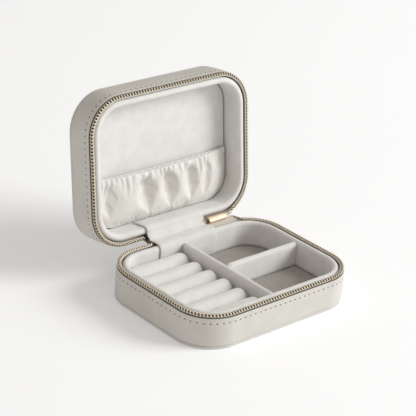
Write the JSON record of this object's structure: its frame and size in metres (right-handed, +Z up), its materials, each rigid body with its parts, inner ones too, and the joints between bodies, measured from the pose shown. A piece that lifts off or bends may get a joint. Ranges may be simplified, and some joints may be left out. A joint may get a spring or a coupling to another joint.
{
  "type": "jewelry box",
  "caption": "Small zip-around travel jewelry box with a soft-hinged lid, velvet lining, ring rolls, dividers and a gathered lid pocket.",
  "frame": {"origin": "centre of the underside of the base", "axes": "+Z up, +X along the long side and the hinge line, +Y towards the hinge at the back"},
  "size_m": [0.115, 0.1226, 0.1049],
  "materials": {
    "leather": "fine pebble grain, satin",
    "greyboard": "raw board",
    "thread": "twisted thread, satin",
    "zip_tape": "woven twill tape",
    "zip_coil": "polished pale gold",
    "brass_fittings": "polished rose gold",
    "velvet": "short pile velvet",
    "pocket_velvet": "soft gathered velvet",
    "taupe_velvet": "short pile velvet",
    "foam": "open-cell foam, matte",
    "elastic": "woven elastic"
  },
  "bodies": {
    "base": {"base_bottom_panel": "leather", "base_floor_board": "greyboard", "base_core_wall": "greyboard", "base_wall_cover": "leather", "base_stitch_thread": "thread", "base_zip_tape": "zip_tape", "base_zip_coil": "zip_coil", "base_end_stops": "brass_fittings", "base_liner_wall": "velvet", "floor_pad_rear": "taupe_velvet", "floor_pad_front": "taupe_velvet", "ring_bed_board": "greyboard", "long_divider_board": "greyboard", "long_divider_cover": "velvet", "short_divider_board": "greyboard", "short_divider_cover": "velvet", "ring_roll_1": "velvet", "ring_roll_2": "velvet", "ring_roll_3": "velvet", "ring_roll_4": "velvet", "ring_roll_5": "velvet", "ring_roll_6": "velvet", "ring_roll_foam": "foam", "hinge_flap_base": "velvet", "hinge_spine_base": "leather"},
    "zip_end": {"zip_end_coil": "zip_coil"},
    "slider": {"zip_slider": "brass_fittings"},
    "link": {"pull_link": "brass_fittings"},
    "pull": {"pull_tab": "brass_fittings"},
    "lid": {"lid_top_panel": "leather", "lid_top_padding": "foam", "lid_top_board": "greyboard", "lid_core_wall": "greyboard", "lid_wall_cover": "leather", "lid_stitch_thread": "thread", "lid_zip_tape": "zip_tape", "lid_zip_coil": "zip_coil", "lid_end_stops": "brass_fittings", "lid_liner_wall": "velvet", "lid_back_panel": "velvet", "pocket_cloth": "pocket_velvet", "pocket_elastic": "elastic", "hinge_flap_lid": "velvet", "hinge_spine_lid": "leather"}
  },
  "joints": [
    {"name": "lid_hinge", "type": "hinge", "parent": "base", "child": "lid", "pos_m": [0, 0.045, 0.018], "axis": [-1, 0, 0], "range_deg": [-98, 7]},
    {"name": "zip_end_fold", "type": "hinge", "parent": "base", "child": "zip_end", "pos_m": [0, 0.045, 0.018], "axis": [-1, 0, 0], "range_deg": [-49, 3.5]},
    {"name": "slider_travel", "type": "slide", "parent": "zip_end", "child": "slider", "axis": [1, 0, 0], "range_m": [0, 0.003]},
    {"name": "link_swing", "type": "hinge", "parent": "slider", "child": "link", "pos_m": [0.0275, 0.04705, 0.01899], "axis": [-1, 0, 0], "range_deg": [-3.5, 49]},
    {"name": "pull_swing", "type": "hinge", "parent": "link", "child": "pull", "pos_m": [0.0275, 0.04705, 0.01679], "axis": [1, 0, 0], "range_deg": [0, 50]}
  ],
  "couplings": [
    {"joint": "zip_end_fold", "follows": "lid_hinge", "ratio": 0.5},
    {"joint": "link_swing", "follows": "lid_hinge", "ratio": -0.5}
  ]
}
